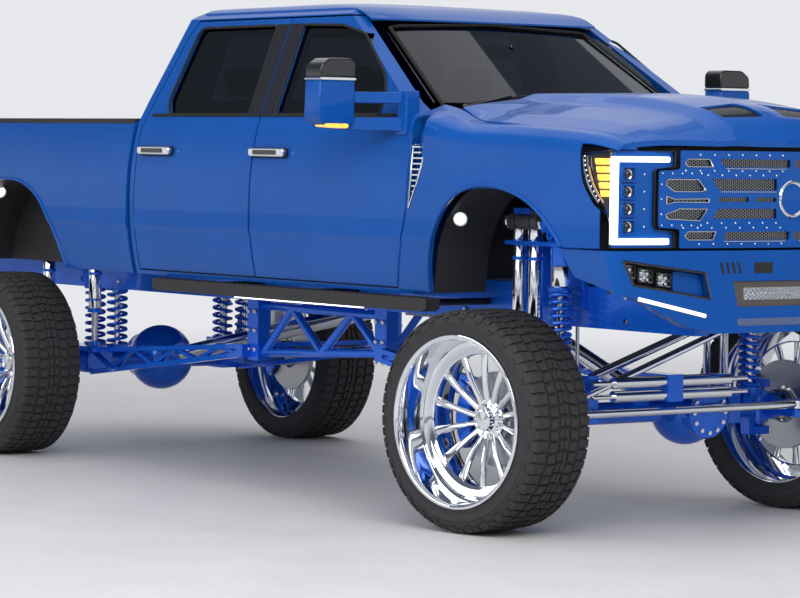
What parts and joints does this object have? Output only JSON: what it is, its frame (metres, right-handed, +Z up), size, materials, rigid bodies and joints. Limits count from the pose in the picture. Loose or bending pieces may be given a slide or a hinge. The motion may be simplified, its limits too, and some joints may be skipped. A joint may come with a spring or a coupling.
{
  "type": "pickup truck",
  "caption": "Lifted four-door pickup truck with long cargo box, opening doors, hood and tailgate, steered front wheels, ladder-arm suspension and large dished wheels.",
  "frame": {"origin": "on the ground at the middle of the overall box", "axes": "+X to the truck's front, +Z up, -Y to the truck's right side"},
  "size_m": [6.5908, 2.69, 2.4721],
  "materials": {
    "body_paint": "gloss",
    "chassis_paint": "gloss candy",
    "chrome": "polished",
    "steel": "satin",
    "black_plastic": "satin",
    "trim_black": "gloss",
    "tyre_rubber": "matte",
    "cab_glass": "tinted",
    "lamp_lens": "clear",
    "red_lens": "gloss",
    "seat_leather": "matte",
    "engine_iron": "matte"
  },
  "bodies": {
    "chassis": {"box_floor": "black_plastic", "box_sides": "body_paint", "bumper_lamps": "lamp_lens", "cab_back_wall": "body_paint", "cab_floor": "black_plastic", "cab_roof": "body_paint", "cab_sides": "body_paint", "centre_truss": "chassis_paint", "cowl_panel": "black_plastic", "dashboard": "trim_black", "drive_shafts": "chrome", "engine_block": "engine_iron", "fixed_glass": "cab_glass", "frame": "chassis_paint", "front_axle": "chassis_paint", "front_bumper": "body_paint", "front_fenders": "body_paint", "grille": "body_paint", "headlamps": "lamp_lens", "hitch_receiver": "steel", "ladder_arms": "chassis_paint", "radiator_support": "black_plastic", "rear_axle": "chassis_paint", "rear_bumper": "body_paint", "running_boards": "black_plastic", "seats": "seat_leather", "shocks": "chrome", "springs": "chassis_paint", "steering_dampers": "chrome", "steering_links": "chrome", "steering_wheel": "trim_black", "tail_lamps": "red_lens", "transfer_case": "steel", "wheel_liners": "black_plastic"},
    "front_door_right": {"front_door_right": "body_paint", "front_door_glass_right": "cab_glass"},
    "rear_door_right": {"rear_door_right": "body_paint", "rear_door_glass_right": "cab_glass"},
    "knuckle_right": {"knuckle_right": "chassis_paint"},
    "front_door_left": {"front_door_left": "body_paint", "front_door_glass_left": "cab_glass"},
    "rear_door_left": {"rear_door_left": "body_paint", "rear_door_glass_left": "cab_glass"},
    "knuckle_left": {"knuckle_left": "chassis_paint"},
    "hood": {"hood": "body_paint"},
    "tailgate": {"tailgate": "body_paint"},
    "tie_rod": {"tie_rod": "chrome"},
    "wheel_front_right": {"wheel_front_right": "chrome", "tyre_front_right": "tyre_rubber"},
    "wheel_front_left": {"wheel_front_left": "chrome", "tyre_front_left": "tyre_rubber"},
    "wheel_rear_right": {"wheel_rear_right": "chrome", "tyre_rear_right": "tyre_rubber"},
    "wheel_rear_left": {"wheel_rear_left": "chrome", "tyre_rear_left": "tyre_rubber"}
  },
  "joints": [
    {"name": "steering", "type": "hinge", "parent": "chassis", "child": "knuckle_right", "pos_m": [2.3105, -0.7, 0.506], "axis": [0, 0, 1], "range_deg": [-35, 20]},
    {"name": "left_steering", "type": "hinge", "parent": "chassis", "child": "knuckle_left", "pos_m": [2.3105, 0.7, 0.506], "axis": [0, 0, 1], "range_deg": [-35, 20]},
    {"name": "tie_rod_eye", "type": "hinge", "parent": "knuckle_left", "child": "tie_rod", "pos_m": [2.55836, 0.73263, 0.53], "axis": [0, 0, 1], "range_deg": [-20, 35]},
    {"name": "front_right_wheel", "type": "hinge", "parent": "knuckle_right", "child": "wheel_front_right", "pos_m": [2.36271, -1.09658, 0.506], "axis": [-0.1305, 0.9914, 0], "continuous": true},
    {"name": "front_left_wheel", "type": "hinge", "parent": "knuckle_left", "child": "wheel_front_left", "pos_m": [2.25829, 1.09658, 0.506], "axis": [-0.1305, 0.9914, 0], "continuous": true},
    {"name": "rear_right_wheel", "type": "hinge", "parent": "chassis", "child": "wheel_rear_right", "pos_m": [-1.9955, -1, 0.506], "axis": [0, 1, 0], "continuous": true},
    {"name": "rear_left_wheel", "type": "hinge", "parent": "chassis", "child": "wheel_rear_left", "pos_m": [-1.9955, 1, 0.506], "axis": [0, 1, 0], "continuous": true},
    {"name": "front_right_door", "type": "hinge", "parent": "chassis", "child": "front_door_right", "pos_m": [1.7365, -1, 1.4], "axis": [0, 0, 1], "range_deg": [0, 65]},
    {"name": "front_left_door", "type": "hinge", "parent": "chassis", "child": "front_door_left", "pos_m": [1.7365, 1, 1.4], "axis": [0, 0, -1], "range_deg": [0, 65]},
    {"name": "rear_right_door", "type": "hinge", "parent": "chassis", "child": "rear_door_right", "pos_m": [0.4125, -1, 1.4], "axis": [0, 0, 1], "range_deg": [0, 70]},
    {"name": "rear_left_door", "type": "hinge", "parent": "chassis", "child": "rear_door_left", "pos_m": [0.4125, 1, 1.4], "axis": [0, 0, -1], "range_deg": [0, 70]},
    {"name": "hood_hinge", "type": "hinge", "parent": "chassis", "child": "hood", "pos_m": [1.8555, 0, 1.925], "axis": [0, -1, 0], "range_deg": [0, 50]},
    {"name": "tailgate_hinge", "type": "hinge", "parent": "chassis", "child": "tailgate", "pos_m": [-3.1655, 0, 1.316], "axis": [0, -1, 0], "range_deg": [0, 90]}
  ],
  "couplings": [
    {"joint": "left_steering", "follows": "steering", "ratio": 1},
    {"joint": "tie_rod_eye", "follows": "steering", "ratio": -1}
  ]
}
